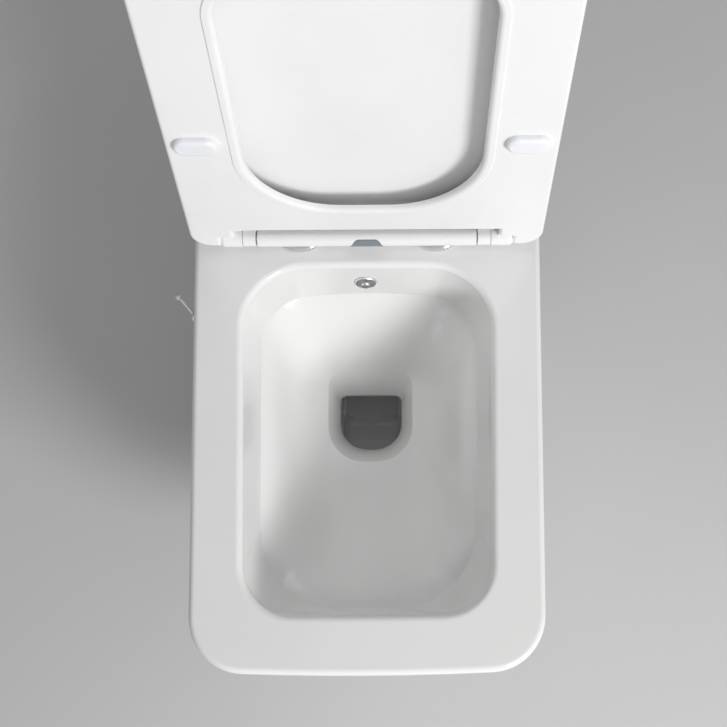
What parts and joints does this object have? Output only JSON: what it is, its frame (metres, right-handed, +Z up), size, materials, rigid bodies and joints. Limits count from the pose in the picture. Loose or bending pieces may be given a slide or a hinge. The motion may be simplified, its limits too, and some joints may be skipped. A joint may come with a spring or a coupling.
{
  "type": "wall-hung toilet",
  "caption": "Wall-hung squared toilet with rimless bowl, soft-close seat and lid that lift off together, rinse nozzle and side pin-lever valve.",
  "frame": {"origin": "midpoint between the two wall stud holes, on the plane of the wall", "axes": "+Y into the wall, +X to the right seen from the front, +Z up"},
  "size_m": [0.3996, 0.51, 0.7933],
  "materials": {
    "ceramic": "white glaze, glossy",
    "seat_white": "white, glossy",
    "buffer": "soft bluish white",
    "button_grey": "grey, satin",
    "chrome": "polished",
    "steel": "turned",
    "brass": "turned",
    "rubber": "matt black",
    "sleeve": "natural",
    "bush": "natural",
    "damper": "dark grey"
  },
  "bodies": {
    "pan_body": {"pan": "ceramic", "stud_sleeves": "sleeve", "base_gaskets": "rubber", "hinge_bases": "chrome", "hinge_studs": "steel", "fixing_plugs": "rubber", "fixing_nuts": "brass", "nozzle_seal": "rubber", "nozzle_face": "chrome", "nozzle_insert": "chrome", "nozzle_tail": "brass", "nozzle_nut": "brass", "valve_body": "brass", "valve_seal": "rubber", "valve_flange": "chrome", "valve_nut": "brass", "bidet_tube": "steel", "tube_nuts": "brass", "supply_tail": "steel", "supply_nut": "brass"},
    "hinge_unit": {"hinge_bar": "seat_white", "release_spring": "steel", "seat_damper": "damper", "lid_damper": "damper", "hinge_pins": "steel"},
    "button": {"release_button": "button_grey"},
    "seat": {"seat_ring": "seat_white", "seat_bushes": "bush", "seat_buffers": "buffer", "front_buffers": "buffer"},
    "lid_body": {"lid": "seat_white", "lid_bushes": "bush", "lid_buffers": "buffer"},
    "lever": {"valve_hub": "chrome", "lever_pin": "chrome", "lever_knob": "chrome"}
  },
  "joints": [
    {"name": "unit_lift", "type": "slide", "parent": "pan_body", "child": "hinge_unit", "axis": [0, 0, 1], "range_m": [0, 0.03]},
    {"name": "button_press", "type": "slide", "parent": "hinge_unit", "child": "button", "axis": [0, 1, 0], "range_m": [0, 0.0018], "stiffness_N_per_m": 1500, "deforming": ["release_spring"]},
    {"name": "lid_hinge", "type": "hinge", "parent": "hinge_unit", "child": "lid_body", "pos_m": [0, -0.08, 0.094], "axis": [1, 0, 0], "range_deg": [0, 95.5]},
    {"name": "seat_hinge", "type": "hinge", "parent": "hinge_unit", "child": "seat", "pos_m": [0, -0.08, 0.094], "axis": [1, 0, 0], "range_deg": [0, 95.5]},
    {"name": "lever_turn", "type": "hinge", "parent": "pan_body", "child": "lever", "pos_m": [-0.19, -0.131, -0.002], "axis": [1, 0, 0], "range_deg": [0, 90]}
  ],
  "couplings": [
    {"joint": "seat_hinge", "follows": "lid_hinge", "ratio": 1}
  ]
}
